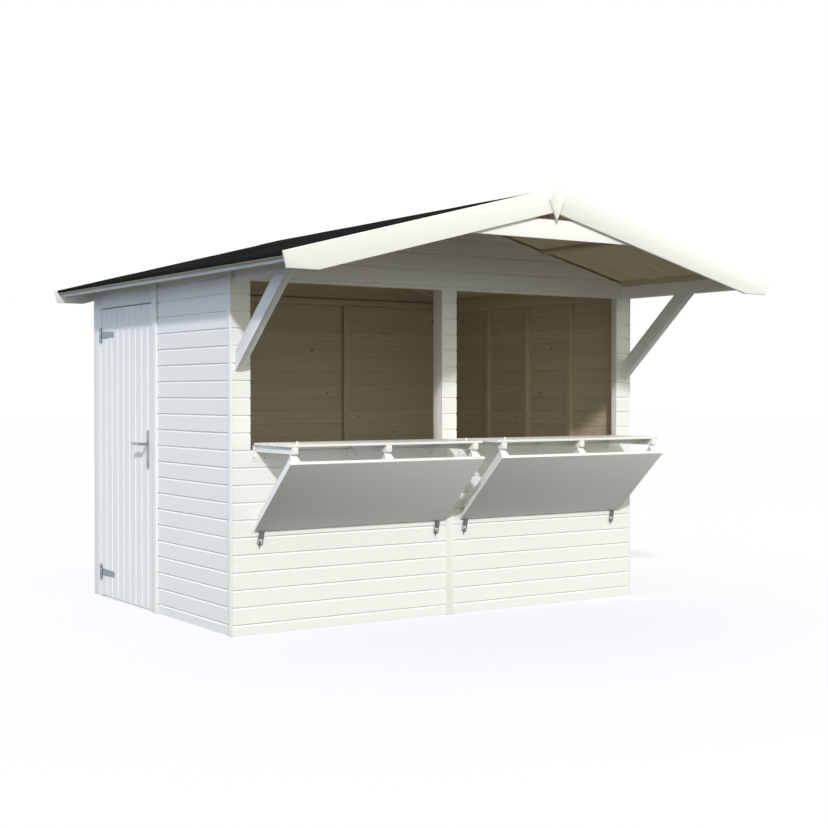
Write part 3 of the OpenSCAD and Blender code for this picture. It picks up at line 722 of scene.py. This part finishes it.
# %% [markdown]
# A run of boards is made along the tree's own axes, turned to its wall, and sawn to the wall's outline
# with straight cuts, as a carpenter trims the ends. Each cut closes the sawn faces again.

# %% Laying and sawing
UNEVEN = 0.0006
TINY = 1e-6
X, Y, Z = Vector((1, 0, 0)), Vector((0, 1, 0)), Vector((0, 0, 1))


def lay(source, start, along, inward, up, length, height, finishes, seed):
    """Boards from start, each as long as length, side by side over height; returns a plain mesh."""
    helper = new_piece("board_run", bpy.data.meshes.new("board_run"))
    run = helper.modifiers.new("boarding", "NODES")
    run.node_group = boarding
    values = {"Board": source, "Count": math.ceil(height / COVER), "Cover": COVER, "Length": length,
              "Unevenness": UNEVEN, "Seed": seed, "Outer finish": finishes[0], "Inner finish": finishes[1]}
    for name, value in values.items():
        run[sockets[name]] = value
    settled(helper)
    mesh = helper.data
    bpy.data.objects.remove(helper)
    turn = Matrix((along, inward, up)).transposed().to_4x4()
    mesh.transform(Matrix.Translation(start) @ turn)
    return mesh


def saw(mesh, cuts):
    """Cuts away what lies beyond each plane, given as a point and the way outwards."""
    bm = bmesh.new()
    bm.from_mesh(mesh)
    for point, outwards in cuts:
        everything = bm.verts[:] + bm.edges[:] + bm.faces[:]
        bmesh.ops.bisect_plane(bm, geom=everything, plane_co=point, plane_no=outwards,
                               clear_outer=True, dist=TINY)
        open_edges = [edge for edge in bm.edges if edge.is_boundary]
        bmesh.ops.holes_fill(bm, edges=open_edges, sides=0)
    bm.to_mesh(mesh)
    bm.free()
    return mesh


def cut_out(piece, blocks):
    """Takes blocks, each a mesh, out of a piece."""
    for shape in blocks:
        cutter = new_piece("cutter", shape)
        taken = piece.modifiers.new("cut", "BOOLEAN")
        taken.operation = "DIFFERENCE"
        taken.solver = "EXACT"
        taken.object = cutter
        settled(piece)
        bpy.data.objects.remove(cutter)
    return piece


def bar(bm, low, high):
    """Adds a plain box between two corners."""
    made = bmesh.ops.create_cube(bm, size=1)["verts"]
    low, high = Vector(low), Vector(high)
    bmesh.ops.scale(bm, vec=high - low, verts=made)
    bmesh.ops.translate(bm, vec=(low + high) / 2, verts=made)


def block(low, high):
    """A plain box as a cutter."""
    bm = bmesh.new()
    bar(bm, low, high)
    return finished(bm, "block")


def wall_boards(node, seed, inward, finishes):
    """Level boards over a wall node's box, which look against inward, sawn at its foot and head."""
    low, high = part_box(node)
    along = inward.cross(Z)
    ways = along + inward
    start = Vector((low.x if ways.x > 0 else high.x, low.y if ways.y > 0 else high.y, JOINT_Z))
    length = abs((high - low).dot(along))
    mesh = lay(wall_board, start, along, inward, Z, length, high.z - JOINT_Z, finishes, seed)
    return saw(mesh, [(low, -Z), (high, Z)])


print("helpers for boards ready")

# %% [markdown]
# The front has a low wall below the windows, a narrow pier at each side, a boarded post between the
# windows and a gable above. All of them share the same joints, so the lines run through.

# %% Front boards
ROOF_AIR = 0.0004
CUT_PAST = 0.01
BEYOND = 3
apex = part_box("ridge_beam")[1].z
deck_low, deck_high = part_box("roof_deck_right")
SLOPE = (apex - deck_low.z) / deck_high.x
PITCH = math.atan(SLOPE)
across_finishes = (paint_across, bare_across)


def roof_rise(way):
    """The way out of the right slope (1) or the left one (-1)."""
    return Vector((way * math.sin(PITCH), 0, math.cos(PITCH)))


def beam_blocks(node):
    """Cutters where the ridge beam and the purlins pass a gable."""
    y0, y1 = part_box(node)[0].y - CUT_PAST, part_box(node)[1].y + CUT_PAST
    ridge_low, ridge_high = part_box("ridge_beam")
    low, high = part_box("purlins")
    near = min(abs(vertex.co.x) for vertex in frame["nodes"]["purlins"].data.vertices)
    spans = ((ridge_low.x, ridge_high.x, ridge_low.z), (low.x, -near, low.z), (near, high.x, low.z))
    return [block((left - ROOF_AIR, y0, foot - ROOF_AIR), (right + ROOF_AIR, y1, BEYOND))
            for left, right, foot in spans]


fronts = ("front_wall_lower", "front_pier_left", "front_pier_right", "front_post_boards")
for seed, node in enumerate(fronts):
    mesh = wall_boards(node, seed, Y, across_finishes)
    dressed(new_piece(node.replace("front_", "front_boards_"), mesh), "hut", "white_paint", [node])

gable_points = [vertex.co for vertex in frame["nodes"]["front_gable"].data.vertices]
gable_top = Vector((0, 0, max(point.z + SLOPE * abs(point.x) for point in gable_points)))
roof_cuts = [(gable_top, roof_rise(-1)), (gable_top, roof_rise(1))]
gable = new_piece("front_boards_gable", saw(wall_boards("front_gable", 7, Y, across_finishes), roof_cuts))
cut_out(gable, beam_blocks("front_gable"))
dressed(gable, "hut", "white_paint", ["front_gable"])
print("front gable", len(gable.data.polygons), "faces, pitch", round(math.degrees(PITCH), 2))

# %% [markdown]
# The back wall is one run of boards up to the roof, sawn to the gable's slopes and let in around the
# beams. Its shoulders step in above the eave beams, so two blocks are cut away there.

# %% Back boards
low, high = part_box("back_wall")
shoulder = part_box("front_gable")[1].x
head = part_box("front_gable")[0].z
back = new_piece("back_boards", saw(wall_boards("back_wall", 11, -Y, across_finishes), roof_cuts))
corners = [
    block((-BEYOND, low.y - CUT_PAST, head), (-shoulder, high.y + CUT_PAST, BEYOND)),
    block((shoulder, low.y - CUT_PAST, head), (BEYOND, high.y + CUT_PAST, BEYOND)),
]
cut_out(back, corners + beam_blocks("back_wall"))
dressed(back, "hut", "white_paint", ["back_wall"])
print("back boards", len(back.data.polygons), "faces")

# %% [markdown]
# The side walls run back from the front boards. Above the window heads they reach past the ends of
# the front and back boards, and below they stop behind them, so a block is cut from each such end.

# %% Side boards
for seed, node, inward in ((21, "left_wall", X), (22, "right_wall_front", -X), (23, "right_wall_back", -X)):
    piece = new_piece("boards_" + node, wall_boards(node, seed, inward, (paint_deep, bare_deep)))
    if node == "right_wall_back":
        end = block((-BEYOND, room[1], -BEYOND), (BEYOND, BEYOND, head))
    else:
        end = block((-BEYOND, -BEYOND, -BEYOND), (BEYOND, room[0], head))
    cut_out(piece, [end])
    dressed(piece, "hut", "white_paint", [node])
    print(piece.name, len(piece.data.polygons), "faces")

# %% [markdown]
# The door is made of upright boards with the same bevelled edges, nailed to cross boards inside.
# A round hole lets the handle's spindle through.

# %% Door boards
HOLE_R = 0.0082
HOLE_DEPTH = 0.1
HOLE_SIDES = 24

leaf_low, leaf_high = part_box("door_leaf")
start = Vector((leaf_low.x, JOINT_Y, leaf_low.z))
tall, wide = leaf_high.z - leaf_low.z, leaf_high.y - JOINT_Y
mesh = lay(wall_board, start, Z, X, Y, tall, wide, (paint_door, bare_door), 31)
door = new_piece("door_boards", saw(mesh, [(leaf_low, -Y), (leaf_high, Y)]))
lever = next(joint for joint in frame["joints"] if joint["name"] == "lever_turn")
spindle = Vector(lever["pos_m"])
bm = bmesh.new()
bmesh.ops.create_cone(bm, cap_ends=True, segments=HOLE_SIDES,
                      radius1=HOLE_R, radius2=HOLE_R, depth=HOLE_DEPTH)
bmesh.ops.rotate(bm, matrix=Matrix.Rotation(math.pi / 2, 3, "Y"), verts=bm.verts)
bmesh.ops.translate(bm, vec=spindle, verts=bm.verts)
hole = finished(bm, "spindle_hole")
cut_out(door, [hole])
dressed(door, "door", "white_paint", ["door_leaf"])
print("door boards", len(door.data.polygons), "faces")

# %% [markdown]
# Under the felt the roof is boarded from eave to ridge, and from below the bare boards show their
# joints. The boards of the two slopes meet at the ridge, so each run is sawn upright there.

# %% Roof boards
SPARE = 0.02
DECK_AIR = 0.0001

reach = deck_high.x / math.cos(PITCH) + SPARE
bed = apex + DECK_AIR
first_y = math.floor(deck_low.y / COVER) * COVER
ridge = Vector((0, first_y, bed))
for side, way, seed in (("right", 1, 41), ("left", -1, 42)):
    down = Vector((way * math.cos(PITCH), 0, -math.sin(PITCH)))
    start, along = (ridge + down * reach, -down) if way > 0 else (ridge - down * SPARE, down)
    mesh = lay(roof_board, start, along, roof_rise(way), Y, reach + SPARE, deck_high.y - first_y,
               (bare_roof, bare_roof), seed)
    edge = Vector((way * deck_high.x, 0, 0))
    saw(mesh, [(deck_low, -Y), (deck_high, Y), (Vector(), -way * X), (edge, way * X)])
    deck = new_piece("roof_boards_" + side, mesh)
    dressed(deck, "hut", "bare_wood", ["roof_deck_" + side])
    print(deck.name, len(deck.data.polygons), "faces")

# %% [markdown]
# The felt is laid in strips along the eaves, each lapping over the one below, with a cap over the
# ridge and its edge folded down over the eave board. Its profile is drawn once for a slope, with a
# small step at each lap, and carried along the roof with a slight wave in it.

# %% Felt
FELT_T = 0.004
LAP = 0.0022
LAP_SHARE = 0.6
LAP_EDGE = 0.0004
CAP = 0.16
WAVE = 0.0006
WAVE_LONG = (9.1, 7.0)
WAVE_CROSS = (1.7, 5.3)
FLAT_EDGE = 0.01
FELT_COLUMNS = 24
FELT_ROWS = 40
felt_bed = bed + ROOF_T / math.cos(PITCH) + DECK_AIR


def felt_height(u, y):
    """Top of the felt at a distance from the ridge: laps that thicken upwards, and a faint wave."""
    strip = eave / STRIPS
    lap = LAP * (1 - (u % strip) / strip) if u < eave - TINY else 0
    cap = LAP if u < CAP else 0
    long, cross = (math.sin(along * y + down * u) for along, down in (WAVE_LONG, WAVE_CROSS))
    wave = WAVE * long * cross if u < eave - FLAT_EDGE else 0
    return felt_bed + FELT_T / math.cos(PITCH) - SLOPE * u + lap * LAP_SHARE + cap + wave


places = sorted({round(i * eave / FELT_COLUMNS, 5) for i in range(FELT_COLUMNS + 1)}
                | {round(i * eave / STRIPS - LAP_EDGE, 5) for i in range(1, STRIPS)} | {CAP - LAP_EDGE, CAP})
bm = bmesh.new()
rows = []
for i in range(FELT_ROWS + 1):
    y = felt_low.y + (felt_high.y - felt_low.y) * i / FELT_ROWS
    top = [(u, felt_height(u, y)) for u in places]
    fold = [(eave, felt_low.z), (eave - FELT_T, felt_low.z)]
    under = [(eave - FELT_T, felt_bed - SLOPE * (eave - FELT_T))]
    half = top + fold + under
    row = half[1:] + [(0, felt_bed)] + [(-u, z) for u, z in reversed(half[1:])] + [half[0]]
    rows.append([bm.verts.new((x, y, z)) for x, z in row])
skinned(bm, rows)
bm.faces.new(rows[0])
bm.faces.new(list(reversed(rows[-1])))
bmesh.ops.recalc_face_normals(bm, faces=bm.faces)
felt = new_piece("roof_felt_sheets", finished(bm, "roof_felt_sheets"))
dressed(felt, "hut", "roofing_felt", ["roof_felt"], felt_finish)
print("felt", len(felt.data.polygons), "faces")

# %% [markdown]
# The door hangs on two T hinges. The strap turns with the door, the plate stays on the wall. The
# handle is a long plate with a lever that springs back. Their shapes come from the frame, with a fine
# edge round all of them. The frame's separate solids tell where the small fittings go.

# %% Ironwork


def solids(node):
    """The boxes of a node's separate solids, from left to right."""
    bm = joined_copy(node)
    waiting, boxes = set(bm.verts), []
    while waiting:
        found = [waiting.pop()]
        for vertex in found:
            for edge in vertex.link_edges:
                other = edge.other_vert(vertex)
                if other in waiting:
                    waiting.remove(other)
                    found.append(other)
        box = [Vector(pick(vertex.co[i] for vertex in found) for i in range(3)) for pick in (min, max)]
        boxes.append(box)
    bm.free()
    return sorted(boxes, key=lambda box: tuple(box[0]))


ironwork = {
    "door_straps": ("hinge_straps", "door", "zinc_steel", zinc, 0.0006, 2),
    "door_hinge_plates": ("hinge_post_plates", "hut", "zinc_steel", zinc, 0.0006, 2),
    "handle_plates": ("handle_back_plates", "door", "satin_steel", satin, 0.001, 2),
    "door_lever": ("lever_handle", "lever", "satin_steel", satin, 0.003, 3),
}
for node, (name, body, slot, finish, edge, segments) in ironwork.items():
    dressed(rounded(node, name, edge, segments), body, slot, [node], finish)

# %% [markdown]
# A clasp hangs at each end of a shutter: a pressed plate, a loop of round wire with a hook in it, a small
# pin below, and a painted tab that holds them to the shutter. Hanging loose, they lean to one side.

# %% Clasps
CLASP_LEAN = math.radians(11)
CLASP_X = 0.0035
HOOK_X = 0.003
TAB_X = 0.006
LOOP_STEPS = 24
WIRE_SIDES = 8


def upright(bm, middle, width, foot, head, front, back):
    """Adds a flat upright strip."""
    bar(bm, (middle - width / 2, front, foot), (middle + width / 2, back, head))


def loop(bm, centre, width, height, wire):
    """Adds an upright loop of round wire with half round ends."""
    rings = []
    for i in range(LOOP_STEPS):
        angle = math.tau * (i + 0.5) / LOOP_STEPS
        out = Vector((math.cos(angle), 0, math.sin(angle)))
        middle = Vector(centre) + out * (width - wire) / 2 + Z * math.copysign((height - width) / 2, out.z)
        turns = [math.tau * j / WIRE_SIDES for j in range(WIRE_SIDES)]
        rings.append([bm.verts.new(middle + (out * math.cos(t) + Y * math.sin(t)) * wire / 2) for t in turns])
    skinned(bm, rings + rings[:1])


def hung(name, node, draw, lean=0.0):
    """One piece with a drawing hung from the top of each solid of a node."""
    bm = bmesh.new()
    for low, high in solids(node):
        part = bmesh.new()
        draw(part)
        top = Vector(((low.x + high.x) / 2, (low.y + high.y) / 2, high.z))
        turn = Matrix.Translation(top) @ Matrix.Rotation(lean, 4, "Y")
        bmesh.ops.transform(part, matrix=turn, verts=part.verts)
        bm.from_mesh(finished(part, name))
    bmesh.ops.recalc_face_normals(bm, faces=bm.faces)
    return new_piece(name, finished(bm, name))


def draw_clasp(bm):
    """A plate with a pressed middle, the wire loop, the hook in it and the pin below."""
    upright(bm, CLASP_X, width=0.033, foot=-0.053, head=-0.004, front=-0.0012, back=0.0012)
    upright(bm, CLASP_X, width=0.025, foot=-0.045, head=-0.012, front=-0.0024, back=-0.0012)
    loop(bm, (CLASP_X, 0, -0.070), width=0.037, height=0.047, wire=0.005)
    upright(bm, HOOK_X, width=0.012, foot=-0.090, head=-0.066, front=-0.0024, back=0.0012)
    upright(bm, HOOK_X, width=0.004, foot=-0.110, head=-0.091, front=-0.001, back=0.001)


def draw_tab(bm):
    upright(bm, TAB_X, width=0.036, foot=-0.011, head=-0.001, front=-0.0025, back=0.0025)


clasps = hung("shutter_clasps_steel", "shutter_clasps", draw_clasp, CLASP_LEAN)
dressed(clasps, "hut", "clasp_steel", ["shutter_clasps"], clasp_steel)
tabs = hung("clasp_tabs", "shutter_clasps", draw_tab)
dressed(tabs, "hut", "white_paint", [], paint_level)
print("clasps", len(solids("shutter_clasps")))

# %% [markdown]
# Below the lever each handle plate carries a lock cylinder with a narrow slot for the key. The slot
# is not cut; a thin dark blade let into the end of each cylinder is painted shade for the slot's inside.

# %% Key slots
KEY_SLOT_W = 0.0022
KEY_SLOT_H = 0.010
KEY_SLOT_OUT = 0.0003
KEY_SLOT_IN = 0.004

bm = bmesh.new()
outer_plate, inner_plate = solids("handle_plates")
key_z = outer_plate[0].z + outer_plate[1].y - outer_plate[0].y
for face, inwards in ((outer_plate[0].x, 1), (inner_plate[1].x, -1)):
    depth = sorted((face - inwards * KEY_SLOT_OUT, face + inwards * KEY_SLOT_IN))
    bar(bm, (depth[0], spindle.y - KEY_SLOT_W / 2, key_z - KEY_SLOT_H / 2),
        (depth[1], spindle.y + KEY_SLOT_W / 2, key_z + KEY_SLOT_H / 2))
# Painted shade: the dark blades stand in for the shadow inside each key slot.
dressed(new_piece("key_slots", finished(bm, "key_slots")), "door", "clasp_steel", [], clasp_steel)
print("key slots at", round(key_z, 3))

# %% [markdown]
# Under each counter a painted plate on the wall holds the back end of every bearer, with its screws
# through it. It is a flat leaf, so a plain box says enough.

# %% Wall plates
PLATE_HALF = 0.05
PLATE_TOP = 0.016
PLATE_H = 0.033
PLATE_T = 0.004
PLATE_IN = 0.001

bearers = [box for box in solids("counter_bearers") if box[1].x - box[0].x < 2 * PLATE_HALF]
wall_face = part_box("front_wall_lower")[0].y
bm = bmesh.new()
for low, high in bearers:
    middle = (low.x + high.x) / 2
    foot = low.z - PLATE_TOP - PLATE_H
    bar(bm, (middle - PLATE_HALF, wall_face - PLATE_T, foot),
        (middle + PLATE_HALF, wall_face + PLATE_IN, foot + PLATE_H))
plates = new_piece("bearer_plates", finished(bm, "bearer_plates"))
dressed(plates, "hut", "white_paint", [], paint_level)
print("wall plates", len(bearers))

# %% [markdown]
# Screws hold all of this. One head is turned as a low dome with a dimple, and a second tree sets it
# on every point of a list, turned to face the way that the list gives.

# %% Screw tree
HEAD_SIDES = 16

screwing = bpy.data.node_groups.new("screwing", "GeometryNodeTree")
screwing.interface.new_socket("Geometry", in_out="INPUT", socket_type="NodeSocketGeometry")
screw_inputs = {"Head": "NodeSocketObject", "Size": "NodeSocketFloat", "Finish": "NodeSocketMaterial"}
screw_sockets = {}
for name, kind in screw_inputs.items():
    screw_sockets[name] = screwing.interface.new_socket(name, in_out="INPUT", socket_type=kind).identifier
screwing.interface.new_socket("Geometry", in_out="OUTPUT", socket_type="NodeSocketGeometry")


def fill_screwing(tree):
    given = add(tree, "NodeGroupInput").outputs
    source = fed(tree, add(tree, "GeometryNodeObjectInfo"), Object=given["Head"])
    way = add(tree, "GeometryNodeInputNamedAttribute", data_type="FLOAT_VECTOR")
    way.inputs["Name"].default_value = "way"
    turn = fed(tree, add(tree, "FunctionNodeAlignRotationToVector", axis="Z"),
               Vector=way.outputs["Attribute"])
    heads = fed(tree, add(tree, "GeometryNodeInstanceOnPoints"), Points=given["Geometry"],
                Instance=source.outputs["Geometry"], Rotation=turn.outputs[0], Scale=given["Size"])
    real = fed(tree, add(tree, "GeometryNodeRealizeInstances"), Geometry=heads.outputs["Instances"])
    finish = fed(tree, add(tree, "GeometryNodeSetMaterial"),
                 Geometry=real.outputs["Geometry"], Material=given["Finish"])
    link(tree, finish.outputs["Geometry"], add(tree, "NodeGroupOutput").inputs[0])


def screw_head():
    """A head of radius 1 that stands on Z = 0, with a dimple for the driver."""
    outline = [(1, -0.2), (1, 0.15), (0.75, 0.4), (0.42, 0.42), (0.34, 0.1)]
    turns = [math.tau * i / HEAD_SIDES for i in range(HEAD_SIDES)]
    bm = bmesh.new()
    rings = [[bm.verts.new((r * math.cos(t), r * math.sin(t), z)) for t in turns] for r, z in outline]
    skinned(bm, rings)
    bm.faces.new(rings[-1])
    bm.faces.new(list(reversed(rings[0])))
    bmesh.ops.recalc_face_normals(bm, faces=bm.faces)
    return bpy.data.objects.new("screw_head", finished(bm, "screw_head"))


fill_screwing(screwing)
head_shape = screw_head()
print("screw tree", len(screwing.nodes), "nodes")

# %% [markdown]
# The strap hinges take three screws each and their plates two, the handle plates one at each end, and
# the wall plates two. Dark nails show in the outer end of each counter. Where a plate lies is read
# from the frame, so the screws follow its size.

# %% Screws
STRAP_STEPS = (0.015, 0.085, 0.155)
STRAP_TIP = 0.01
HINGE_RIM = 0.005
HINGE_EDGE = 0.013
HINGE_END = 0.014
HANDLE_RIM = 0.004
HANDLE_END = 0.011
BEARER_STEPS = (-0.034, 0.034)
NAIL_STEPS = (0.08, 0.18, 0.28)
NAIL_DROP = 0.002


def screws(name, body, slot, finish, size, spots):
    """Screw heads at spots, each a place and the way it faces, as one piece."""
    mesh = bpy.data.meshes.new(name)
    mesh.from_pydata([place for place, way in spots], [], [])
    ways = mesh.attributes.new("way", "FLOAT_VECTOR", "POINT")
    ways.data.foreach_set("vector", [value for place, way in spots for value in way])
    piece = new_piece(name, mesh)
    run = piece.modifiers.new("screwing", "NODES")
    run.node_group = screwing
    for key, value in (("Head", head_shape), ("Size", size), ("Finish", finish)):
        run[screw_sockets[key]] = value
    settled(piece)
    print(name, len(spots))
    return dressed(piece, body, slot, [])


def outer_face(node, y0, y1, z0=-BEYOND, z1=BEYOND):
    """How far left the node's points reach within a band."""
    points = [vertex.co for vertex in frame["nodes"][node].data.vertices]
    return min(point.x for point in points if y0 <= point.y <= y1 and z0 <= point.z <= z1)


spots = []
for low, high in solids("door_straps"):
    face = outer_face("door_straps", low.y, low.y + STRAP_TIP)
    spots += [(Vector((face, low.y + step, (low.z + high.z) / 2)), -X) for step in STRAP_STEPS]
screws("strap_screws", "door", "zinc_steel", zinc, 0.0045, spots)
spots = []
for low, high in solids("door_hinge_plates"):
    face = outer_face("door_hinge_plates", high.y - HINGE_RIM, high.y)
    ends = (low.z + HINGE_END, high.z - HINGE_END)
    spots += [(Vector((face, high.y - HINGE_EDGE, z)), -X) for z in ends]
screws("plate_screws", "hut", "zinc_steel", zinc, 0.0045, spots)
low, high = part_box("handle_plates")
face = outer_face("handle_plates", low.y, high.y, high.z - HANDLE_RIM, high.z)
spots = [(Vector((face, spindle.y, z)), -X) for z in (low.z + HANDLE_END, high.z - HANDLE_END)]
screws("handle_screws", "door", "satin_steel", satin, 0.0035, spots)
spots = []
for low, high in bearers:
    middle, height = (low.x + high.x) / 2, low.z - PLATE_TOP - PLATE_H / 2
    spots += [(Vector((middle + step, wall_face - PLATE_T, height)), -Y) for step in BEARER_STEPS]
screws("bearer_plate_screws", "hut", "zinc_steel", zinc, 0.004, spots)
spots = []
for node, way in (("counter_left", -X), ("counter_right", X)):
    low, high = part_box(node)
    side = low.x if way.x < 0 else high.x
    height = (low.z + high.z) / 2 - NAIL_DROP
    spots += [(Vector((side, high.y - step, height)), way) for step in NAIL_STEPS]
screws("counter_nails", "hut", "clasp_steel", clasp_steel, 0.0035, spots)

# %% [markdown]
# Last, the box of the dressed hut is measured.

# %% Sizes and finish
low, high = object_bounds()
